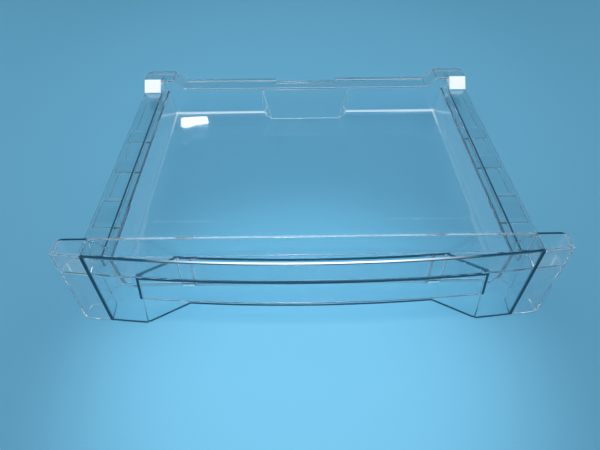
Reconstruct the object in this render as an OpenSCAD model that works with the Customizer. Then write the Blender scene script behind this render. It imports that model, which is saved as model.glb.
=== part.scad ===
// Clear moulded fridge drawer: a shallow tray behind a curved hollow front with a grip pocket.
// Sizes are in millimetres. X runs to the right, Y to the back and Z up.
// The origin is halfway across and halfway along, level with the front's lower edge.

/* [Front] */
// Width of the front over both ears
front_w = 470; // [450:1:500]
// Height of the front
front_h = 99; // [92:1:115]
// How far the middle of the curved face stands forward of the side plates
face_bow = 12; // [8:0.5:14]
// Thickness of the curved face
face_t = 3; // [2.4:0.1:3.6]
// Depth of the hollow front, from the side plates' front edge to the back of its rear panel
box_d = 23.5; // [22:0.5:28]
// Thickness of the other walls of the front
box_t = 2.5; // [2:0.1:3]
// Width of the square ear outside each side plate
ear_w = 29.5; // [24:0.5:36]
// Radius of the ears' rear corners
ear_r = 6; // [4:0.5:9]
// How far the side plates lean outward towards the back
plate_lean = 2; // [0:0.5:4]
// Depth of the open trough along the top of the front
trough_h = 24; // [18:0.5:28]
// Width of each ear's foot behind the front
foot_w = 15; // [12:0.5:20]
// Radius where the rear panel's lower edge rises to the tray
foot_r = 20; // [12:1:24]

/* [Grip pocket] */
// Width of the pocket's curved back wall
grip_w = 256; // [220:1:270]
// How much farther out each side wall meets the face
grip_flare = 40; // [30:1:45]
// How much each side of the pocket's mouth leans in towards its ceiling
grip_lean = 8; // [4:0.5:12]
// Height of the mouth under the pull lip
lip_z = 42; // [34:0.5:50]
// Radius of the pocket's upper corners
grip_r = 5; // [3:0.5:8]
// Gap between the middle of the pocket's back wall and the rear panel
grip_gap = 4; // [3:0.5:5]

/* [Tray] */
// Inside length of the tray's floor
tray_d = 309.5; // [260:0.5:360]
// Height of the tray's floor above the front's lower edge
tray_lift = 35; // [28:0.5:42]
// Height of the tray's rim above its floor
tray_h = 40; // [34:0.5:50]
// Thickness of the tray's walls
wall_t = 2.5; // [2:0.1:3]
// Thickness of the tray's floor
floor_t = 2.5; // [2:0.1:3]
// How far each side wall leans outward
wall_lean = 4; // [2:0.5:6]
// How far the rear wall leans outward
rear_lean = 0.5; // [0.5:0.5:3]
// Radius between floor and walls
fillet_r = 4.5; // [3:0.5:8]
// Distance from the rear panel to the step across the floor
step_d = 86.5; // [60:0.5:120]
// Height of that step
step_t = 0.8; // [0.4:0.1:1.2]
// How far the step leans forward at the rim
step_lean = 15; // [8:0.5:20]

/* [Rim] */
// How far each ear stands out past the side rim
ear_out = 10.4; // [6:0.1:16]
// Width of the side rim's runner
rail_w = 23.9; // [20:0.1:30]
// Width of the lower strip between wall and runner
strip_w = 8.7; // [6:0.1:12]
// How far that strip lies below the runner
strip_drop = 2; // [1:0.1:3]
// Thickness of the rim
rim_t = 2.5; // [2:0.1:3]
// Thickness of the rib along each runner's inner edge
rib_t = 2.5; // [2:0.1:3]
// Height of that rib
rib_h = 14; // [10:0.5:20]
// Width of the rear rim
rear_rim_d = 28; // [22:0.5:36]
// Height of the lip that hangs from the rear rim
skirt_h = 5.5; // [4:0.5:9]
// Thickness of that lip
skirt_t = 2.2; // [1.8:0.1:3]

/* [Runner] */
// Width of the shallow channel along the runner
channel_w = 14; // [10:0.5:17]
// Depth of the channel
channel_t = 0.7; // [0.4:0.1:1]
// Distance from the rear panel to the catch recess
catch_d = 37.5; // [30:0.5:45]
// Length of the catch recess
catch_l = 40; // [30:0.5:45]
// Distance from the rear panel to the first stop
stop_a = 126; // [110:0.5:140]
// Distance from the rear panel to the second stop
stop_b = 184; // [170:0.5:210]
// Length of each stop's ramp
stop_l = 21; // [15:0.5:26]
// Depth of each stop's step
stop_t = 1.4; // [0.8:0.1:1.6]
// Width of the stops and of the catch recess
stop_w = 19; // [16:0.5:20]

/* [Corner tabs] */
// Height of the raised rear corners above the rim
tab_h = 13; // [8:0.5:18]
// Width of each raised corner
tab_w = 39.6; // [36:0.1:46]
// Length of each raised corner behind its ramp
tab_d = 24; // [20:0.5:26]
// Length of the ramp up to each raised corner
ramp_l = 14; // [10:0.5:20]
// Length of the slope beside each raised corner
slope_l = 14; // [10:0.5:20]
// Radius of the raised corners
tab_r = 9; // [6:0.5:14]

/* [Pads] */
// Width of the pad on each ramp
pad_w = 22; // [16:0.5:23.5]
// Length of the pad up the ramp, as a share of the ramp
pad_share = 0.96; // [0.6:0.01:0.98]
// Thickness of the pad
pad_t = 1.2; // [0.8:0.1:2]

/* [Rear wall bump] */
// Width of the bump's face at the floor
bump_w = 96; // [70:1:130]
// How far the bump stands forward at the floor
bump_d = 15.5; // [10:0.5:20]
// How much each side of the bump flares out at the wall
bump_flare = 13; // [8:0.5:18]
// Width of the notch in the rear rim
notch_w = 84; // [60:1:110]
// Depth of that notch
notch_d = 6; // [3:0.5:9]

/* [Hidden] */

clear_tint = [0.72, 0.86, 0.93, 0.45];
pad_tint = [0.97, 0.97, 0.97];

// Cut solids run this far past the faces that they open.
over = 1;
// Walls that meet run this far into each other.
seat = 0.5;
arc_n = 8;

// Front, in plan: the face is part of a large cylinder.
// Y is counted from the line between the side plates' front edges, until placed() moves it.
side_x = front_w / 2 - ear_w;
face_r = (side_x * side_x + face_bow * face_bow) / (2 * face_bow);
face_cy = face_r - face_bow;
panel_y = box_d - box_t;
shelf_top = front_h - trough_h;
shelf_z = shelf_top - box_t;
foot_x = front_w / 2 - foot_w;

// Grip pocket: its back wall is concentric with the face.
grip_d = panel_y + face_bow - grip_gap - box_t;
grip_back_y = face_y(grip_w / 2, grip_d);
grip_front_x = grip_w / 2 + grip_flare;
grip_run = grip_back_y - face_y(grip_front_x, 0);

// Tray and rim, across.
rim_out_x = front_w / 2 - ear_out;
rib_x = rim_out_x - rail_w;
rim_in_x = rib_x - strip_w;
tray_hw = rim_in_x - wall_lean;

// Tray and rim, along and up.
floor_z = tray_lift;
under_z = floor_z - floor_t;
rim_z = floor_z + tray_h;
strip_z = rim_z - strip_drop;
rear_y = box_d + tray_d;
rear_top_y = rear_y + rear_lean;
rim_end_y = rear_y + rear_rim_d;
tab_z = rim_z + tab_h;
tab_x = rim_out_x - tab_w;
tab_y = rim_end_y - tab_d;
ramp_y = tab_y - ramp_l;
ramp_angle = atan2(tab_h, ramp_l);
ramp_span = norm([tab_h, ramp_l]);
step_y = box_d + step_d;
bump_hw = bump_w / 2;

mid_y = (rim_end_y - face_bow) / 2;

// Y of the face at a place across it, some depth behind its front surface
function face_y(x, depth) = face_cy - sqrt(pow(face_r - depth, 2) - x * x);

function arc(cx, cy, r, a0, a1) =
    [for (i = [0:arc_n]) let (a = a0 + (a1 - a0) * i / arc_n) [cx + r * cos(a), cy + r * sin(a)]];

// Outline of a trough from b0 to b1 at its floor, its ends leaning out by l0 and l1 over the tray's height
function trough(b0, b1, l0, l1, z, top, r) =
    let (a0 = atan(l0 / tray_h))
    let (a1 = atan(l1 / tray_h))
    let (c0 = b0 - r * tan(a0) + r / cos(a0))
    let (c1 = b1 + r * tan(a1) - r / cos(a1))
    concat(
        [[b0 - l0 * (top - z) / tray_h, top]],
        arc(c0, z + r, r, 180 + a0, 270),
        arc(c1, z + r, r, 270, 360 - a1),
        [[b1 + l1 * (top - z) / tray_h, top]]
    );

function mirror_x(points) = [for (i = [len(points) - 1:-1:0]) [-points[i][0], points[i][1]]];

// Extrudes an outline drawn in X and Z from y0 to y1
module along_y(y0, y1) {
    translate([0, y1, 0]) rotate([90, 0, 0]) linear_extrude(y1 - y0) children();
}

// Extrudes an outline drawn in Y and Z from x0 to x1
module along_x(x0, x1) {
    translate([x0, 0, 0]) rotate([90, 0, 90]) linear_extrude(x1 - x0) children();
}

// Extrudes an outline drawn in X and Y from z0 to z1
module along_z(z0, z1) {
    translate([0, 0, z0]) linear_extrude(z1 - z0) children();
}

module placed() {
    translate([0, -mid_y, 0]) children();
}

module both_sides() {
    children();
    mirror([1, 0, 0]) children();
}

// Everything behind a surface that lies some depth behind the face
module behind_face(depth, z0, z1) {
    translate([0, face_cy, z0]) cylinder(r = face_r - depth, h = z1 - z0, $fn = 720);
}

// Front

function mouth_x(z) = grip_front_x - grip_lean * z / shelf_z;

module mouth_outline() {
    polygon([
        [-mouth_x(-over), -over],
        [mouth_x(-over), -over],
        [mouth_x(lip_z), lip_z],
        [-mouth_x(lip_z), lip_z]
    ]);
}

module face() {
    difference() {
        intersection() {
            behind_face(0, 0, front_h);
            translate([-front_w / 2, -2 * face_bow, 0]) cube([front_w, 2 * face_bow + box_d / 2, front_h]);
        }
        behind_face(face_t, -over, front_h + over);
        along_y(-2 * face_bow, box_d / 2) mouth_outline();
    }
}

module ear_wall() {
    out_x = front_w / 2;
    start_y = face_y(out_x, face_t / 2);
    corner_x = out_x - ear_r;
    corner_y = box_d - ear_r;
    along_z(0, front_h) polygon(concat(
        [[out_x, start_y]],
        arc(corner_x, corner_y, ear_r, 0, 90),
        [[corner_x - over, box_d], [corner_x - over, panel_y]],
        arc(corner_x, corner_y, ear_r - box_t, 90, 0),
        [[out_x - box_t, start_y]]
    ));
}

module side_plate() {
    y0 = face_y(side_x, face_t / 2);
    along_z(0, front_h) polygon([
        [side_x - box_t / 2, y0],
        [side_x + box_t / 2, y0],
        [side_x + plate_lean + box_t / 2, box_d - seat],
        [side_x + plate_lean - box_t / 2, box_d - seat]
    ]);
}

// The lower edge is the tray's floor in the middle and sweeps down to the ears' feet.
module rear_panel() {
    end_x = front_w / 2 - ear_r;
    edge = concat(
        [[end_x, front_h], [end_x, 0], [foot_x, 0]],
        arc(tray_hw, under_z - foot_r, foot_r, 40, 90)
    );
    along_y(panel_y, box_d) polygon(concat(edge, mirror_x(edge)));
}

module shelf() {
    in_x = front_w / 2 - box_t / 2;
    in_y = box_d - box_t / 2;
    in_r = ear_r - box_t / 2;
    edge = concat([[in_x, -2 * face_bow]], arc(in_x - in_r, in_y - in_r, in_r, 0, 90));
    intersection() {
        behind_face(face_t / 2, shelf_z - over, shelf_top + over);
        along_z(shelf_z, shelf_top) polygon(concat(edge, mirror_x(edge)));
    }
}

// The pocket's plan, grown outward by a wall
module grip_plan(grow) {
    out = grow * norm([grip_flare, grip_run]) / grip_run;
    slope = grip_flare / grip_run;
    front_y = -2 * face_bow;
    front_x = grip_w / 2 + out + slope * (grip_back_y - front_y);
    back_x = grip_w / 2 + out - slope * (box_d - grip_back_y);
    polygon([[-front_x, front_y], [front_x, front_y], [back_x, box_d], [-back_x, box_d]]);
}

module grip_space() {
    edge = concat(
        [[mouth_x(-over), -over]],
        arc(mouth_x(shelf_z) - grip_r, shelf_z - grip_r, grip_r, 0, 90)
    );
    difference() {
        intersection() {
            along_z(-over, front_h) grip_plan(0);
            along_y(-2 * face_bow - over, box_d + over) polygon(concat(edge, mirror_x(edge)));
        }
        behind_face(grip_d, -2 * over, front_h + over);
    }
}

module grip_walls() {
    top = shelf_z + seat;
    difference() {
        intersection() {
            behind_face(face_t / 2, 0, top);
            along_z(0, top) grip_plan(box_t);
        }
        behind_face(grip_d + box_t, -over, front_h);
        grip_space();
    }
}

// Tray

module tray_space(inset, top) {
    intersection() {
        along_y(box_d - wall_t, rear_y + rear_rim_d) polygon(trough(
            -tray_hw + inset, tray_hw - inset, wall_lean, wall_lean, floor_z + inset, top, fillet_r
        ));
        along_x(-front_w / 2, front_w / 2) polygon(concat(
            [[box_d, top], [box_d, floor_z + inset]],
            [for (p = trough(box_d, rear_y, 0, rear_lean, floor_z + inset, top, fillet_r)) if (p[0] > rear_y / 2) p]
        ));
    }
}

// Everything behind the slanted plane of the step across the floor
module behind_step(top) {
    lean = step_lean / tray_h;
    along_x(-front_w / 2, front_w / 2) polygon([
        [step_y + lean * floor_t, under_z],
        [rim_end_y, under_z],
        [rim_end_y, top + over],
        [step_y - lean * (top + over - floor_z), top + over]
    ]);
}

module tray_inside() {
    top = tab_z + over;
    tray_space(step_t, top);
    intersection() {
        tray_space(0, top - over / 2);
        behind_step(top);
    }
}

module tray_outside() {
    r = fillet_r + wall_t;
    back = trough(panel_y, rear_y + wall_t, 0, rear_lean, under_z, rim_z - seat, r);
    intersection() {
        along_y(panel_y, rear_y + rear_rim_d) polygon(trough(
            -tray_hw - wall_t, tray_hw + wall_t, wall_lean, wall_lean, under_z, strip_z - seat, r
        ));
        along_x(-front_w / 2, front_w / 2) polygon(concat(
            [[panel_y + seat, rim_z - seat], [panel_y + seat, under_z]],
            [for (p = back) if (p[0] > rear_y / 2) p]
        ));
    }
}

// The bump's slanted face meets the floor bump_d in front of the wall and runs out at the rim.
module bump_form(inset) {
    rise = bump_d + rear_lean;
    front_y = rear_y - bump_d + inset * norm([rise, tray_h]) / tray_h;
    wide = bump_hw + bump_flare - inset;
    along_z_out = bump_flare / bump_d;
    z0 = inset > 0 ? under_z - over : under_z;
    y0 = front_y - rise * (floor_z - z0) / tray_h;
    y1 = front_y + rise;
    end_y = rear_top_y + (inset > 0 ? wall_t + over : wall_t / 2);
    intersection() {
        along_x(-wide - bump_flare, wide + bump_flare) polygon([
            [y0, z0],
            [end_y, z0],
            [end_y, rim_z - rim_t],
            [y1 - rise * rim_t / tray_h, rim_z - rim_t]
        ]);
        along_z(z0 - over, rim_z) polygon([
            [-bump_hw + inset, rear_y - bump_d - over],
            [bump_hw - inset, rear_y - bump_d - over],
            [wide + along_z_out * (end_y - rear_y), end_y],
            [-wide - along_z_out * (end_y - rear_y), end_y]
        ]);
    }
}

// Rim

// Plan of the rim's outer edge, with the raised corners rounded and the notch at the middle of the rear
module rim_plan(inset) {
    x = rim_out_x - inset;
    y = rim_end_y - inset;
    notch_x = notch_w / 2 + inset;
    edge = concat(
        [[x, panel_y + seat]],
        arc(rim_out_x - tab_r, rim_end_y - tab_r, tab_r - inset, 0, 90),
        [[notch_x, y], [notch_x, y - notch_d]]
    );
    polygon(concat(edge, mirror_x(edge)));
}

// Top line of the side rims, from front to back, and of the rear rim, from left to right
side_line = [[panel_y, rim_z], [ramp_y, rim_z], [tab_y, tab_z], [rim_end_y + over, tab_z]];
rear_line = [[rib_x + seat, tab_z], [tab_x, tab_z], [tab_x - slope_l, rim_z]];

function band(line, h) = concat(line, [for (i = [len(line) - 1:-1:0]) line[i] - [0, h]]);

module side_band(h) {
    both_sides() along_x(rib_x, rim_out_x + over) polygon(band(side_line, h));
}

module rear_band(h) {
    line = concat(rear_line, mirror_x(rear_line));
    along_y(rear_top_y - seat, rim_end_y + over) polygon(band(line, h));
}

module rim() {
    intersection() {
        union() {
            side_band(rim_t);
            rear_band(rim_t);
        }
        along_z(0, tab_z + over) rim_plan(0);
    }
    intersection() {
        union() {
            side_band(skirt_h);
            rear_band(skirt_h);
        }
        difference() {
            along_z(0, tab_z + over) rim_plan(0);
            along_z(-over, tab_z + 2 * over) rim_plan(skirt_t);
            translate([-front_w, -front_w, -over]) cube([2 * front_w, front_w + ramp_y, 2 * front_h]);
        }
    }
}

module strip() {
    along_z(strip_z - rim_t, strip_z) polygon([
        [rim_in_x, panel_y + seat],
        [rib_x + seat, panel_y + seat],
        [rib_x + seat, rear_top_y + seat],
        [rim_in_x, rear_top_y + seat]
    ]);
}

// The rib along the runner's inner edge, which also closes the side of the raised corner
module rib() {
    along_x(rib_x - rib_t / 2, rib_x + rib_t / 2) polygon([
        [panel_y + seat, rim_z],
        [ramp_y, rim_z],
        [tab_y, tab_z],
        [rim_end_y - tab_r, tab_z],
        [rim_end_y - tab_r, tab_z - rim_t],
        [rear_top_y + wall_t, rim_z - rib_h],
        [panel_y + seat, rim_z - rib_h]
    ]);
}

// The tray's rear wall carried up to the raised corner
module tab_wall() {
    along_y(rear_top_y, rear_top_y + wall_t) polygon([
        [tab_x - slope_l, rim_z - rim_t],
        [rib_x + seat, rim_z - rim_t],
        [rib_x + seat, tab_z - seat],
        [tab_x, tab_z - seat],
        [tab_x - slope_l, rim_z - seat]
    ]);
}

// Small corner web between the strip and the runner, beside each stop
module stop_web(y, l) {
    along_z(strip_z - seat, rim_z - strip_drop / 4) polygon([
        [rim_in_x + seat, y],
        [rib_x, y],
        [rib_x, y + l]
    ]);
}

module stop_cut(y) {
    far = stop_l + 2 * over;
    along_x(rib_x + rib_t / 2, rib_x + rib_t / 2 + stop_w) polygon([
        [y, rim_z - stop_t],
        [y + far, rim_z - stop_t + stop_t * far / stop_l],
        [y + far, rim_z + over],
        [y, rim_z + over]
    ]);
}

module channel_cut(y0, y1) {
    x = rib_x + rib_t / 2;
    translate([x, y0, rim_z - channel_t]) cube([channel_w, y1 - y0, channel_t + over]);
}

module catch_cut() {
    y = box_d + catch_d;
    ramp = catch_l * 0.2;
    along_x(rib_x + rib_t / 2, rib_x + rib_t / 2 + stop_w) polygon([
        [y, rim_z + over],
        [y, rim_z - stop_t],
        [y + 1.6 * ramp, rim_z - channel_t],
        [y + catch_l - ramp, rim_z - channel_t],
        [y + catch_l, rim_z - channel_t / 2],
        [y + catch_l, rim_z + over]
    ]);
}

module runner_cuts() {
    catch_cut();
    for (d = [stop_a, stop_b]) stop_cut(box_d + d);
    channel_cut(box_d + catch_d + catch_l + stop_w / 4, box_d + stop_a - over);
    channel_cut(box_d + stop_a + stop_l + stop_w / 4, box_d + stop_b - over);
    channel_cut(box_d + stop_b + stop_l + stop_w / 4, ramp_y - rib_h);
}

// Lug behind each end of the rear panel, where the runner meets it
module end_lug() {
    x1 = side_x + plate_lean;
    along_y(box_d - seat, box_d + box_t) polygon([
        [rib_x - 4, rim_z - seat],
        [x1, rim_z - seat],
        [x1, front_h - 4],
        [rib_x - 3.5, front_h - 7],
        [rib_x - 6.5, front_h - 14]
    ]);
}

module drawer() {
    color(clear_tint) placed() {
        difference() {
            union() {
                face();
                both_sides() {
                    ear_wall();
                    side_plate();
                }
                rear_panel();
                shelf();
                grip_walls();
                difference() {
                    union() {
                        tray_outside();
                        rim();
                        both_sides() {
                            strip();
                            rib();
                            tab_wall();
                        }
                    }
                    tray_inside();
                    both_sides() runner_cuts();
                }
                both_sides() {
                    stop_web(box_d + catch_d, catch_l * 0.35);
                    for (d = [stop_a, stop_b]) stop_web(box_d + d, stop_l);
                    end_lug();
                }
                bump_form(0);
            }
            bump_form(wall_t);
        }
    }
}

// Square pad lying on the ramp up to a raised corner
module rear_pad() {
    pad_l = ramp_span * pad_share;
    pad_x = (rib_x + rib_t / 2 + rim_out_x) / 2;
    color(pad_tint)
        translate([pad_x - pad_w / 2, ramp_y, rim_z])
            rotate([ramp_angle, 0, 0])
                translate([0, (ramp_span - pad_l) / 2, 0])
                    cube([pad_w, pad_l, pad_t]);
}

module rear_pad_left() {
    placed() mirror([1, 0, 0]) rear_pad();
}

module rear_pad_right() {
    placed() rear_pad();
}

drawer();
rear_pad_left();
rear_pad_right();
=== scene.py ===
"""A clear fridge drawer on a light blue table, seen from the front and above."""

import math

import bpy
from mathutils import Matrix, Vector


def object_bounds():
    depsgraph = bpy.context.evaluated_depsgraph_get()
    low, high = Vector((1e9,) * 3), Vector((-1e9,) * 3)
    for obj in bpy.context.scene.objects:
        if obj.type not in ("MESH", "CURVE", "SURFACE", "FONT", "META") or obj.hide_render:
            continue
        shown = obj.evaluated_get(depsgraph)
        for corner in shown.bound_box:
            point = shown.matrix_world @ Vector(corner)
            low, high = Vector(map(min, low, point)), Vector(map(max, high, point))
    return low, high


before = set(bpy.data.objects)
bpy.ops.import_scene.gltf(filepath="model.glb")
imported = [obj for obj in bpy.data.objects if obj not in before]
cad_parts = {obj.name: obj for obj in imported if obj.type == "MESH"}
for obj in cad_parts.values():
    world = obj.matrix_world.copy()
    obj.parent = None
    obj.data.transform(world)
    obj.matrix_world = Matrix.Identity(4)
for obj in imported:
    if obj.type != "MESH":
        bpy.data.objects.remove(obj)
cad_low, cad_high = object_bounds()

# Lengths are in metres. z = 0 is the level of the front's lower edge, and x = 0 is the middle.
MM = 0.001
FRONT_Y = cad_low.y
REAR_Y = cad_high.y
TOP_Z = cad_high.z

# The drawer stands on its front feet and on the rear edge of its tray, so the table lies at a slant.
FEET_Y = FRONT_Y + 35.5 * MM
TRAY_BOTTOM_Y = REAR_Y - 31 * MM
TRAY_BOTTOM_Z = 32.5 * MM
TABLE_DROP = 0.6 * MM
TABLE_SIZE = 8.0
TABLE_COLOUR = (0.117, 0.345, 0.50, 1.0)
TABLE_ROUGHNESS = 0.75
TABLE_GLOSS = 0.2

# Camera, worked out from the corners of the front and the rims in the photograph
CAMERA_PLACE = Vector((-13.4, -449.9, 416.6)) * MM
CAMERA_PITCH = math.radians(45.47)
CAMERA_YAW = math.radians(0.42)
CAMERA_ROLL = math.radians(-0.45)
CAMERA_LENS = 28.4
SENSOR_WIDTH = 36.0

# The room's tone by how far up one looks: 0 is level or lower, and 1 is straight up.
ROOM_TONES = (
    (0.0, (0.55, 0.72, 0.85, 1.0)),
    (0.22, (0.12, 0.22, 0.30, 1.0)),
    (0.5, (0.05, 0.12, 0.18, 1.0)),
)

# Paths of light run many times between the two faces of a wall before they leave it by its edge.
MOST_BOUNCES = 40

# Colours: the plastic's clear faces, painted shade where a wall is seen edge on, painted highlights on blunt
# rims, and painted soft light on soft edges
CLEAR = (0.97, 0.99, 0.995, 1.0)
SHADE_NAVY = (0.004, 0.050, 0.095, 1.0)
PAINTED_HIGHLIGHT = (0.80, 0.90, 0.94, 1.0)
SOFT_LIGHT_BLUE = (0.25, 0.50, 0.64, 1.0)
LAMP_TINT = (0.93, 0.96, 0.97, 1.0)
DEPTH_TINT = (0.0, 0.35, 0.55, 1.0)
DEPTH_DENSITY = 5.0
PLASTIC_IOR = 1.56

# Finish of the plastic: smudges on its polish, a faint ripple, and edges that are rounded a little
SMUDGE_SCALE = 9.0
SMUDGE_DETAIL = 4.0
SMUDGE_RANGE = (0.35, 0.75)
POLISH = (0.015, 0.06)
RIPPLE_SCALE = 14.0
RIPPLE_DETAIL = 1.0
RIPPLE_STRENGTH = 0.05
RIPPLE_HEIGHT = 2 * MM
EDGE_RADIUS = 0.9 * MM
EDGE_SAMPLES = 6
EDGE_COSINES = (0.998, 0.95)
EDGE_ROUGHNESS = 0.18
SOFT_ROUGHNESS = 0.55

# Foam of the pads
PAD_ROUGHNESS = 0.7
PAD_DARK = (0.88, 0.88, 0.87, 1.0)
PAD_LIGHT = (0.97, 0.97, 0.97, 1.0)
GRAIN_SCALE = 900.0
GRAIN_DETAIL = 3.0
GRAIN_STRENGTH = 0.25
GRAIN_HEIGHT = 0.4 * MM

# The curved face is part of a large upright cylinder, and spans the two side plates.
PLATE_X = 205.5 * MM
FACE_BOW = 12 * MM
FACE_T = 3 * MM
WALL_T = 2.5 * MM
FACE_RADIUS = (PLATE_X ** 2 + FACE_BOW ** 2) / (2 * FACE_BOW)
PLATES_FRONT_Y = FRONT_Y + FACE_BOW
PANEL_Y = PLATES_FRONT_Y + 21 * MM
PANEL_BACK_Y = PANEL_Y + WALL_T
EAR_X = PLATE_X + 2 * MM

# Grip pocket under the shelf, with its mouth in the curved face
SHELF_Z = 72.5 * MM
SHELF_TOP = SHELF_Z + WALL_T
LIP_Z = 42 * MM
MOUTH_X = 168 * MM
MOUTH_TOP_X = MOUTH_X - 8 * MM
POCKET_X = 128 * MM
POCKET_DEPTH = 26.5 * MM
POCKET_BACK_Y = PLATES_FRONT_Y + 19.2 * MM
POCKET_RUN = 23.2 * MM
POCKET_FLARE = (MOUTH_X - POCKET_X) / POCKET_RUN
FLARE_RUN = 20 * MM

# Rims, walls and floor of the tray
RIM_Z = 75 * MM
RIB_X = 200.7 * MM
RUNNER_X = RIB_X + 20.3 * MM
SIDE_WALL_X = 188 * MM
FLOOR_Z = 35 * MM
FILLET = 4.5 * MM
REAR_WALL_Y = PANEL_BACK_Y + 309.5 * MM
BUMP_Y = REAR_WALL_Y - 15.5 * MM
RAMP_Y = REAR_Y - 38 * MM
LIP_Y = REAR_Y - 5.5 * MM

# Across each runner rim lie a catch recess and the ramps of two stops.
CATCH_Y = PANEL_BACK_Y + 37.5 * MM
CATCH_END_Y = PANEL_BACK_Y + 77.5 * MM
STOP_A_Y = PANEL_BACK_Y + 126 * MM
STOP_B_Y = PANEL_BACK_Y + 184 * MM
STOP_L = 21 * MM
STEPS_Y = (CATCH_Y, CATCH_END_Y, STOP_A_Y, STOP_B_Y)
SUNK_Y = (
    (CATCH_Y + 7.5 * MM, CATCH_END_Y - 8.5 * MM),
    (STOP_A_Y, STOP_A_Y + STOP_L),
    (STOP_B_Y, STOP_B_Y + STOP_L),
)

# Ranges of the painted lines. None leaves an end of a range open.
SKIN = 0.1 * MM
ON_FACE = (None, FACE_T + SKIN)
ON_SHELF = (SHELF_TOP - SKIN, SHELF_TOP + SKIN)
ON_TOP = (TOP_Z - 3 * SKIN, None)
ON_RIM = (RIM_Z - 3 * SKIN, None)
ON_EARS = (PLATE_X + 2.5 * MM, None)

# Painted shade: dark lines on the front
SHELF_LINE_Z = (SHELF_Z - 2 * SKIN, SHELF_TOP + 2 * SKIN)
MOUTH_LINE_X = (None, MOUTH_TOP_X + WALL_T)
PLATE_LINE_X = (PLATE_X - 1.5 * MM, PLATE_X + 1.9 * MM)
POCKET_LINE_DEPTH = (POCKET_DEPTH, POCKET_DEPTH + 1.6 * MM)
POCKET_LINE_X = (None, POCKET_X + WALL_T)
POCKET_SIDE_LINE = (0.0, 1.6 * WALL_T)
FOOT_LINE_Z = (None, 1.4 * MM)
SHADE_GROWS_X = (90 * MM, 150 * MM)
SHADE_GROWS_DEPTH = (1 * MM, FACE_T)

# Painted shade: dark lines and faint shade on the rims
RIB_LINE_X = (RIB_X - 0.8 * MM, RIB_X + 0.8 * MM)
RIB_LINE_Y = (PANEL_BACK_Y + WALL_T, RAMP_Y)
WALL_TOP_X = (SIDE_WALL_X + 3.2 * MM, SIDE_WALL_X + 5.2 * MM)
SIDE_WALL_Y = (PANEL_BACK_Y + 1 * MM, REAR_WALL_Y)
WALL_TOP_Z = (RIM_Z - 2.5 * MM, None)
RAIL_X = (SIDE_WALL_X + 4 * MM, None)
RAIL_Y = (PANEL_BACK_Y + 3 * MM, RAMP_Y)
RAIL_Z = (RIM_Z - 3 * MM, None)
STEP_LINE = 0.8 * MM
SUNK_X = (RIB_X + WALL_T / 2, RUNNER_X)
FACE_SHADE_X = (100 * MM, 165 * MM)

# Painted highlights on the rims
FACE_TOP_DEPTH = (1 * MM, FACE_T)
FACE_TOP_FADE_X = (60 * MM, 150 * MM)
PANEL_T_Y = (PANEL_Y - SKIN, PANEL_BACK_Y + 1 * MM)
WALL_END_X = (SIDE_WALL_X - 1 * MM, SIDE_WALL_X + 7.5 * MM)
WALL_END_Z = (FLOOR_Z - 8 * MM, RIM_Z)
REAR_RIM_Y = (REAR_WALL_Y - 1 * MM, REAR_WALL_Y + 3 * MM)
REAR_RIM_Z = (RIM_Z - 2 * MM, None)
REAR_FLOOR_Y = (REAR_WALL_Y - FILLET, REAR_WALL_Y + 0.5 * MM)
REAR_FLOOR_Z = (FLOOR_Z + 0.2 * FILLET, FLOOR_Z + 0.75 * FILLET)
BUMP_SIDE_X = (None, 70 * MM)
BUMP_SIDE_Y = (BUMP_Y - 2 * MM, REAR_WALL_Y + 2 * MM)
BUMP_SIDE_Z = (FLOOR_Z + 2 * MM, RIM_Z - 3 * MM)
BUMP_FOOT_Y = (BUMP_Y - 2 * MM, REAR_WALL_Y)
BUMP_FOOT_Z = (FLOOR_Z - 0.5 * MM, FLOOR_Z + 2 * MM)
LIP_LINE_X = (42 * MM, 170 * MM)
LIP_LINE_Y = (LIP_Y - 1.5 * MM, LIP_Y)
LIP_LINE_Z = (RIM_Z - 2 * SKIN, None)
SIDE_FILLET_X = (SIDE_WALL_X - FILLET, SIDE_WALL_X + 0.5 * MM)
SIDE_FILLET_Z = (FLOOR_Z + 0.2 * FILLET, FLOOR_Z + 0.8 * FILLET)
SIDE_FILLET_FADE_Y = (REAR_WALL_Y - 60 * MM, REAR_WALL_Y - 5 * MM)
SIDE_WALL_FACES_X = (SIDE_WALL_X, SIDE_WALL_X + 4.2 * MM)
SIDE_WALL_FACES_Z = (FLOOR_Z + FILLET, RIM_Z - 3 * MM)

# Edges painted in soft light
EAR_EDGE_Y = (None, PANEL_BACK_Y + 1 * MM)
PANEL_FOOT_Z = (FLOOR_Z - 3 * MM, FLOOR_Z + 1 * MM)

# How much of each line shows, from 0 to 1. A pair goes from its first figure to its second along the line.
# Painted shade
SHADE_COVER = 0.95
WALL_TOP_SHADE = 0.28
STEP_SHADE = 0.3
SUNK_SHADE = 0.08
RAIL_SHADE = 0.03
FACE_SHADE = (0.06, 0.0)
# Painted highlights
FACE_TOP_SHINE = (0.85, 0.0)
REAR_SHINE = 0.85
SIDE_FILLET_SHINE = (0.08, 0.6)
LIP_SHINE = 0.4
PANEL_SHINE = 0.12
SIDE_WALL_SHINE = 0.06
# Painted soft light, and the faint pale blue over the ears
SOFT_LIGHT_COVER = 0.8
EAR_OVERLAY = 0.05


def new_material(name):
    material = bpy.data.materials.new(name)
    material.use_nodes = True
    nodes = material.node_tree.nodes
    nodes.clear()
    output = nodes.new("ShaderNodeOutputMaterial")
    shader = nodes.new("ShaderNodeBsdfPrincipled")
    material.node_tree.links.new(shader.outputs["BSDF"], output.inputs["Surface"])
    return material, nodes, material.node_tree.links, shader


def output_of(material):
    return next(node for node in material.node_tree.nodes if node.type == "OUTPUT_MATERIAL")


def add_noise(nodes, links, scale, detail):
    """Noise that stays at its place on the object, around 0.5"""
    place = nodes.new("ShaderNodeTexCoord")
    noise = nodes.new("ShaderNodeTexNoise")
    noise.inputs["Scale"].default_value = scale
    noise.inputs["Detail"].default_value = detail
    links.new(place.outputs["Object"], noise.inputs["Vector"])
    return noise.outputs["Fac"]


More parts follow.
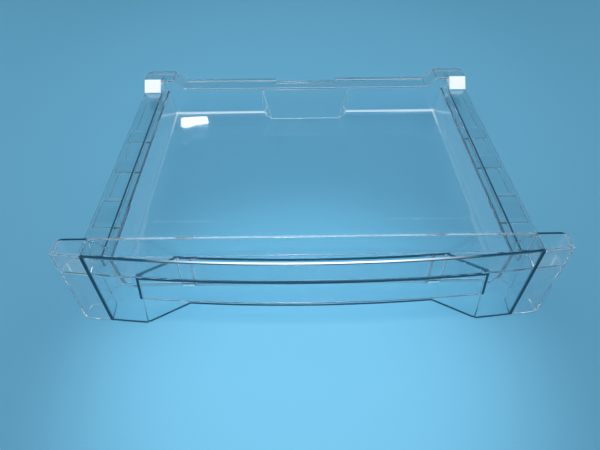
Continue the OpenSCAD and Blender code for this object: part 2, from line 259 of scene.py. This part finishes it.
def add_bump(nodes, links, shader, height, strength, distance):
    bump = nodes.new("ShaderNodeBump")
    bump.inputs["Strength"].default_value = strength
    bump.inputs["Distance"].default_value = distance
    links.new(height, bump.inputs["Height"])
    links.new(bump.outputs["Normal"], shader.inputs["Normal"])
    return bump


def let_lamps_through(material, shader, tint):
    """Light from the lamps and the table passes straight through, as it nearly does through thin walls."""
    nodes, links = material.node_tree.nodes, material.node_tree.links
    path = nodes.new("ShaderNodeLightPath")
    through = nodes.new("ShaderNodeBsdfTransparent")
    through.inputs["Color"].default_value = tint
    either = nodes.new("ShaderNodeMixShader")
    lit = nodes.new("ShaderNodeMath")
    lit.operation = "MAXIMUM"
    links.new(path.outputs["Is Shadow Ray"], lit.inputs[0])
    links.new(path.outputs["Is Diffuse Ray"], lit.inputs[1])
    links.new(lit.outputs["Value"], either.inputs["Fac"])
    links.new(shader.outputs["BSDF"], either.inputs[1])
    links.new(through.outputs["BSDF"], either.inputs[2])
    links.new(either.outputs["Shader"], output_of(material).inputs["Surface"])


def tint_by_depth(material, colour, density):
    """Light that runs far through the plastic, as from edge to edge of a wall, turns dark blue."""
    absorption = material.node_tree.nodes.new("ShaderNodeVolumeAbsorption")
    absorption.inputs["Color"].default_value = colour
    absorption.inputs["Density"].default_value = density
    material.node_tree.links.new(absorption.outputs["Volume"], output_of(material).inputs["Volume"])


class Masks:
    """Math on the place of a point on the drawer. A mask is 1 where it holds and 0 elsewhere.

    across is the distance from the middle, along is Y, up is Z, and depth is measured back from
    the curved face. All are fixed on the drawer, whatever it is seen from.
    """

    def __init__(self, material):
        self.nodes = material.node_tree.nodes
        self.links = material.node_tree.links
        coordinates = self.nodes.new("ShaderNodeTexCoord")
        split = self.nodes.new("ShaderNodeSeparateXYZ")
        self.links.new(coordinates.outputs["Object"], split.inputs["Vector"])
        self.across = self.calculate("ABSOLUTE", split.outputs["X"])
        self.along = split.outputs["Y"]
        self.up = split.outputs["Z"]
        self.depth = self.behind_face()

    def behind_face(self):
        x_squared = self.calculate("POWER", self.across, 2.0)
        y_to_axis = self.calculate("SUBTRACT", FRONT_Y + FACE_RADIUS, self.along)
        y_squared = self.calculate("POWER", y_to_axis, 2.0)
        from_axis = self.calculate("SQRT", self.calculate("ADD", x_squared, y_squared))
        return self.calculate("SUBTRACT", FACE_RADIUS, from_axis)

    def calculate(self, operation, first, second=0.0):
        node = self.nodes.new("ShaderNodeMath")
        node.operation = operation
        for socket, value in zip(node.inputs, (first, second)):
            if isinstance(value, (int, float)):
                socket.default_value = value
            else:
                self.links.new(value, socket)
        return node.outputs["Value"]

    def within(self, value, limits):
        """1 where a value is inside its limits"""
        low, high = limits
        if low is None:
            return self.calculate("LESS_THAN", value, high)
        if high is None:
            return self.calculate("GREATER_THAN", value, low)
        return self.calculate("MULTIPLY", self.within(value, (low, None)), self.within(value, (None, high)))

    def box(self, **limits):
        """1 where across, along, up or depth are all inside the limits given for them"""
        return self.all_of(*[self.within(getattr(self, axis), pair) for axis, pair in limits.items()])

    def all_of(self, first, *others):
        for other in others:
            first = self.calculate("MULTIPLY", first, other)
        return first

    def any_of(self, first, *others):
        for other in others:
            first = self.calculate("MAXIMUM", first, other)
        return first

    def weighted(self, mask, weight):
        return self.calculate("MULTIPLY", mask, weight)

    def ramp(self, value, span, result=(0.0, 1.0)):
        """A number that goes from the first result to the second as the value crosses its span"""
        node = self.nodes.new("ShaderNodeMapRange")
        self.links.new(value, node.inputs["Value"])
        node.inputs["From Min"].default_value = span[0]
        node.inputs["From Max"].default_value = span[1]
        node.inputs["To Min"].default_value = result[0]
        node.inputs["To Max"].default_value = result[1]
        return node.outputs["Result"]

    def mixed(self, factor, first, second):
        """A colour between two colours, either of which may be a socket"""
        node = self.nodes.new("ShaderNodeMix")
        node.data_type = "RGBA"
        colours = [socket for socket in node.inputs if socket.type == "RGBA"]
        for socket, value in zip(colours, (first, second)):
            if isinstance(value, tuple):
                socket.default_value = value
            else:
                self.links.new(value, socket)
        self.links.new(factor, node.inputs["Factor"])
        return next(socket for socket in node.outputs if socket.type == "RGBA")


def near_edges(masks, rounded):
    """1 along every edge and corner line, by the cosine of the rounded normal's turn from the flat face's"""
    ground = masks.nodes.new("ShaderNodeNewGeometry")
    turn = masks.nodes.new("ShaderNodeVectorMath")
    turn.operation = "DOT_PRODUCT"
    masks.links.new(rounded, turn.inputs[0])
    masks.links.new(ground.outputs["True Normal"], turn.inputs[1])
    return masks.ramp(turn.outputs["Value"], EDGE_COSINES)


def walls_behind_face(masks):
    """Ends of the walls that run back from the face, given painted shade: shelf, sides of the pocket's
    mouth, side plates
    """
    shelf = masks.box(depth=ON_FACE, up=SHELF_LINE_Z, across=MOUTH_LINE_X)
    mouth_x = masks.ramp(masks.up, (0.0, SHELF_Z), (MOUTH_X, MOUTH_TOP_X))
    past_mouth = masks.calculate("SUBTRACT", masks.across, mouth_x)
    mouth_side = masks.all_of(
        masks.box(depth=ON_FACE, up=(LIP_Z, SHELF_TOP)),
        masks.within(past_mouth, (0.0, WALL_T)),
    )
    plates = masks.box(depth=ON_FACE, across=PLATE_LINE_X)
    return masks.any_of(shelf, mouth_side, plates)


def walls_under_shelf(masks):
    """Back wall and flared sides of the pocket, given painted shade where they meet the shelf"""
    on_shelf = masks.box(along=(None, PANEL_Y), up=ON_SHELF)
    back = masks.all_of(on_shelf, masks.box(depth=POCKET_LINE_DEPTH, across=POCKET_LINE_X))
    flared_x = POCKET_X + POCKET_FLARE * FLARE_RUN
    side_x = masks.ramp(masks.along, (POCKET_BACK_Y - FLARE_RUN, POCKET_BACK_Y), (flared_x, POCKET_X))
    past_side = masks.calculate("SUBTRACT", masks.across, side_x)
    side = masks.all_of(
        on_shelf,
        masks.within(past_side, POCKET_SIDE_LINE),
        masks.box(across=MOUTH_LINE_X, depth=(FACE_T, None)),
    )
    return masks.any_of(back, side)


def edges_of_front(masks):
    """The front's lower edges, and the upper edges of its face and ears, given painted shade"""
    lower = masks.box(up=FOOT_LINE_Z, across=(None, EAR_X))
    shade_depth = masks.ramp(masks.across, SHADE_GROWS_X, SHADE_GROWS_DEPTH)
    face_top = masks.all_of(
        masks.box(depth=ON_FACE, up=ON_TOP, across=(None, PLATE_X)),
        masks.within(masks.depth, (None, shade_depth)),
    )
    ear_top = masks.box(up=ON_TOP, across=(EAR_X, None), along=(PANEL_Y, None))
    return masks.any_of(lower, face_top, ear_top)


def shade_lines(masks):
    """Painted shade where one looks into the length of a wall, which turns it navy"""
    rib = masks.box(up=ON_RIM, across=RIB_LINE_X, along=RIB_LINE_Y)
    return masks.any_of(walls_behind_face(masks), walls_under_shelf(masks), edges_of_front(masks), rib)


def faint_shade(masks):
    """Painted shade: darker lines and faint shade on the rims, and a faint shade on the middle of the curved
    face
    """
    wall_top = masks.box(up=WALL_TOP_Z, across=WALL_TOP_X, along=SIDE_WALL_Y)
    rail = masks.box(along=RAIL_Y, up=RAIL_Z, across=RAIL_X)
    step_lines = [masks.within(masks.along, (y - STEP_LINE, y + STEP_LINE)) for y in STEPS_Y]
    steps = masks.all_of(rail, masks.any_of(*step_lines), masks.box(across=(None, RUNNER_X)))
    sunk_bands = [masks.within(masks.along, limits) for limits in SUNK_Y]
    sunk = masks.all_of(rail, masks.any_of(*sunk_bands), masks.box(across=SUNK_X))
    face = masks.all_of(masks.box(depth=ON_FACE), masks.ramp(masks.across, FACE_SHADE_X, FACE_SHADE))
    return masks.any_of(
        masks.weighted(wall_top, WALL_TOP_SHADE),
        masks.weighted(steps, STEP_SHADE),
        masks.weighted(sunk, SUNK_SHADE),
        masks.weighted(rail, RAIL_SHADE),
        face,
    )


def front_highlights(masks):
    """Painted highlights: the face's upper edge, brightest in the middle, the panel's, and the side walls'
    front ends
    """
    face_top = masks.all_of(
        masks.box(up=ON_TOP, depth=FACE_TOP_DEPTH),
        masks.ramp(masks.across, FACE_TOP_FADE_X, FACE_TOP_SHINE),
    )
    panel_top = masks.box(up=ON_TOP, along=(PANEL_Y, None), across=(None, PLATE_X))
    wall_ends = masks.box(across=WALL_END_X, along=PANEL_T_Y, up=WALL_END_Z)
    return masks.any_of(face_top, masks.weighted(masks.any_of(panel_top, wall_ends), PANEL_SHINE))


def rear_highlights(masks, edges):
    """Painted highlights: the rear wall's upper rim, its fillet on the floor, the bump's foot and sides, and
    the hanging lip
    """
    rim = masks.all_of(edges, masks.box(along=REAR_RIM_Y, up=REAR_RIM_Z))
    floor_line = masks.box(along=REAR_FLOOR_Y, up=REAR_FLOOR_Z)
    bump_foot = masks.all_of(edges, masks.box(along=BUMP_FOOT_Y, up=BUMP_FOOT_Z))
    bump_sides = masks.all_of(edges, masks.box(along=BUMP_SIDE_Y, up=BUMP_SIDE_Z, across=BUMP_SIDE_X))
    lip = masks.box(along=LIP_LINE_Y, up=LIP_LINE_Z, across=LIP_LINE_X)
    return masks.any_of(
        masks.weighted(masks.any_of(rim, floor_line, bump_foot), REAR_SHINE),
        masks.weighted(masks.any_of(lip, bump_sides), LIP_SHINE),
    )


def side_highlights(masks):
    """Painted highlights: fillets at the foot of the side walls, brighter towards the rear, and the faces of
    these walls
    """
    fillets = masks.all_of(
        masks.box(across=SIDE_FILLET_X, up=SIDE_FILLET_Z),
        masks.ramp(masks.along, SIDE_FILLET_FADE_Y, SIDE_FILLET_SHINE),
    )
    faces = masks.box(across=SIDE_WALL_FACES_X, up=SIDE_WALL_FACES_Z, along=SIDE_WALL_Y)
    return masks.any_of(fillets, masks.weighted(faces, SIDE_WALL_SHINE))


def soft_light_edges(masks, edges):
    """Painted soft light on edges that show little, those of the ears and the foot of the panel, and a faint
    pale blue over the ears
    """
    ears = masks.all_of(edges, masks.box(across=ON_EARS, along=EAR_EDGE_Y))
    panel_foot = masks.box(along=PANEL_T_Y, up=PANEL_FOOT_Z, across=(None, SIDE_WALL_X))
    ear_overlay = masks.box(across=ON_EARS, along=(None, PANEL_Y))
    return masks.any_of(
        masks.weighted(masks.any_of(ears, panel_foot), SOFT_LIGHT_COVER),
        masks.weighted(ear_overlay, EAR_OVERLAY),
    )


def clear_plastic():
    """Polished clear styrene with a faint ripple, painted shade in navy where a wall is seen edge on,
    painted highlights at blunt rims and painted soft light on soft edges
    """
    material, nodes, links, shader = new_material("clear_plastic")
    shader.inputs["IOR"].default_value = PLASTIC_IOR
    smudge = add_noise(nodes, links, SMUDGE_SCALE, SMUDGE_DETAIL)
    ripple = add_noise(nodes, links, RIPPLE_SCALE, RIPPLE_DETAIL)
    rounded = nodes.new("ShaderNodeBevel")
    rounded.samples = EDGE_SAMPLES
    rounded.inputs["Radius"].default_value = EDGE_RADIUS
    bump = add_bump(nodes, links, shader, ripple, RIPPLE_STRENGTH, RIPPLE_HEIGHT)
    links.new(rounded.outputs["Normal"], bump.inputs["Normal"])

    masks = Masks(material)
    edges = near_edges(masks, rounded.outputs["Normal"])
    painted_shade = shade_lines(masks)
    painted_highlight = masks.any_of(front_highlights(masks), rear_highlights(masks, edges), side_highlights(masks))
    soft_light = soft_light_edges(masks, edges)

    # Painted soft light, shade and highlights go into the colour and cover the clear plastic where they lie
    softened = masks.mixed(soft_light, CLEAR, SOFT_LIGHT_BLUE)
    darkened = masks.mixed(masks.any_of(painted_shade, faint_shade(masks)), softened, SHADE_NAVY)
    links.new(masks.mixed(painted_highlight, darkened, PAINTED_HIGHLIGHT), shader.inputs["Base Color"])
    covered = masks.any_of(masks.weighted(painted_shade, SHADE_COVER), painted_highlight, soft_light)
    links.new(masks.calculate("SUBTRACT", 1.0, covered), shader.inputs["Transmission Weight"])
    roughness = masks.any_of(
        masks.ramp(smudge, SMUDGE_RANGE, POLISH),
        masks.weighted(edges, EDGE_ROUGHNESS),
        masks.weighted(soft_light, SOFT_ROUGHNESS),
    )
    links.new(roughness, shader.inputs["Roughness"])

    let_lamps_through(material, shader, LAMP_TINT)
    tint_by_depth(material, DEPTH_TINT, DEPTH_DENSITY)
    return material


def white_pad():
    """Matt white foam with a fine grain"""
    material, nodes, links, shader = new_material("white_pad")
    shader.inputs["Roughness"].default_value = PAD_ROUGHNESS
    grain = add_noise(nodes, links, GRAIN_SCALE, GRAIN_DETAIL)
    tone = nodes.new("ShaderNodeValToRGB")
    tone.color_ramp.elements[0].color = PAD_DARK
    tone.color_ramp.elements[1].color = PAD_LIGHT
    links.new(grain, tone.inputs["Fac"])
    links.new(tone.outputs["Color"], shader.inputs["Base Color"])
    add_bump(nodes, links, shader, grain, GRAIN_STRENGTH, GRAIN_HEIGHT)
    return material


def table_top():
    material, nodes, links, shader = new_material("table_top")
    shader.inputs["Base Color"].default_value = TABLE_COLOUR
    shader.inputs["Roughness"].default_value = TABLE_ROUGHNESS
    shader.inputs["Specular IOR Level"].default_value = TABLE_GLOSS
    return material


def dress(node, material):
    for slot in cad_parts[node].material_slots:
        slot.material = material


def add_table():
    bpy.ops.mesh.primitive_plane_add(size=TABLE_SIZE)
    table = bpy.context.object
    table.name = "table"
    table.rotation_euler.x = math.atan2(TRAY_BOTTOM_Z, TRAY_BOTTOM_Y - FEET_Y)
    table.location = (0, FEET_Y, -TABLE_DROP)
    table.data.materials.append(table_top())


def add_camera():
    forward = Vector((
        math.sin(CAMERA_YAW) * math.cos(CAMERA_PITCH),
        math.cos(CAMERA_YAW) * math.cos(CAMERA_PITCH),
        -math.sin(CAMERA_PITCH),
    ))
    right = Vector((math.cos(CAMERA_YAW), -math.sin(CAMERA_YAW), 0))
    up = right.cross(forward)
    rolled_right = right * math.cos(CAMERA_ROLL) + up * math.sin(CAMERA_ROLL)
    rolled_up = up * math.cos(CAMERA_ROLL) - right * math.sin(CAMERA_ROLL)
    camera = bpy.data.objects.new("camera", bpy.data.cameras.new("camera"))
    camera.data.lens = CAMERA_LENS
    camera.data.sensor_width = SENSOR_WIDTH
    camera.matrix_world = Matrix((
        (rolled_right.x, rolled_up.x, -forward.x, CAMERA_PLACE.x),
        (rolled_right.y, rolled_up.y, -forward.y, CAMERA_PLACE.y),
        (rolled_right.z, rolled_up.z, -forward.z, CAMERA_PLACE.z),
        (0, 0, 0, 1),
    ))
    bpy.context.scene.collection.objects.link(camera)
    bpy.context.scene.camera = camera


def aim(light, place, target):
    """Puts a light into the scene, out of the camera's sight, and points it at its target"""
    item = bpy.data.objects.new(light.name, light)
    item.location = place
    item.rotation_mode = "QUATERNION"
    item.rotation_quaternion = (Vector(target) - Vector(place)).to_track_quat("-Z", "Y")
    item.visible_camera = False
    bpy.context.scene.collection.objects.link(item)


def add_panel_light(name, place, target, size, power):
    light = bpy.data.lights.new(name, "AREA")
    light.shape = "RECTANGLE"
    light.size, light.size_y = size
    light.energy = power
    aim(light, place, target)


def add_spot(name, place, target, degrees, power, radius):
    light = bpy.data.lights.new(name, "SPOT")
    light.spot_size = math.radians(degrees)
    light.spot_blend = 1.0
    light.energy = power
    light.shadow_soft_size = radius
    aim(light, place, target)


def add_softboxes():
    """Broad light from both sides, a little stronger on the left"""
    size = (1.2, 1.2)
    add_panel_light("softbox_left", (-0.95, 0.1, 1.4), target=(-0.3, 0, 0), size=size, power=10.8)
    add_panel_light("softbox_right", (0.95, 0.1, 1.4), target=(0.3, 0, 0), size=size, power=9.6)


def add_fills():
    """Weak light from low on both sides"""
    size = (1.0, 0.5)
    add_panel_light("fill_left", (-1.6, -0.1, 0.6), target=(0, 0, 0), size=size, power=3.4)
    add_panel_light("fill_right", (1.6, -0.1, 0.6), target=(0, 0, 0), size=size, power=2.5)


def add_highlights():
    """A white reflection at the rear left of the tray's floor, and glints on edges near the middle"""
    add_panel_light(
        "glare", (-0.567, 1.783, 1.099), target=(-0.16, 0.139, 0.035), size=(0.14, 0.05), power=0.6
    )
    add_panel_light("glint", (-0.037, -0.42, 1.2), target=(-0.02, -0.1, 0), size=(0.025, 0.05), power=3.5)


def add_spots():
    """Light on the tray, and the bright patch of table in front of the drawer"""
    add_spot("key", (0, -0.65, 1.35), target=(0, 0.17, 0.07), degrees=34, power=18.5, radius=0.08)
    add_spot("front_spot", (-0.037, -0.35, 1.2), target=(-0.01, -0.24, 0), degrees=26, power=45, radius=0.02)


def add_world():
    """A dim blue room, paler towards the horizon"""
    world = bpy.data.worlds.new("studio")
    world.use_nodes = True
    nodes, links = world.node_tree.nodes, world.node_tree.links
    direction = nodes.new("ShaderNodeTexCoord")
    split = nodes.new("ShaderNodeSeparateXYZ")
    links.new(direction.outputs["Generated"], split.inputs["Vector"])
    tone = nodes.new("ShaderNodeValToRGB")
    stops = tone.color_ramp.elements
    stops.new(0.5)
    for stop, (height, colour) in zip(stops, ROOM_TONES):
        stop.position = height
        stop.color = colour
    links.new(split.outputs["Z"], tone.inputs["Fac"])
    links.new(tone.outputs["Color"], nodes["Background"].inputs["Color"])
    bpy.context.scene.world = world


def set_light_paths():
    cycles = bpy.context.scene.cycles
    cycles.max_bounces = MOST_BOUNCES
    cycles.transmission_bounces = MOST_BOUNCES
    cycles.glossy_bounces = MOST_BOUNCES
    cycles.transparent_max_bounces = MOST_BOUNCES


add_camera()
add_world()
add_table()
add_softboxes()
add_fills()
add_highlights()
add_spots()
set_light_paths()

pad_foam = white_pad()
dress("drawer", clear_plastic())
dress("rear_pad_left", pad_foam)
dress("rear_pad_right", pad_foam)

bpy.context.scene.view_settings.view_transform = "Standard"
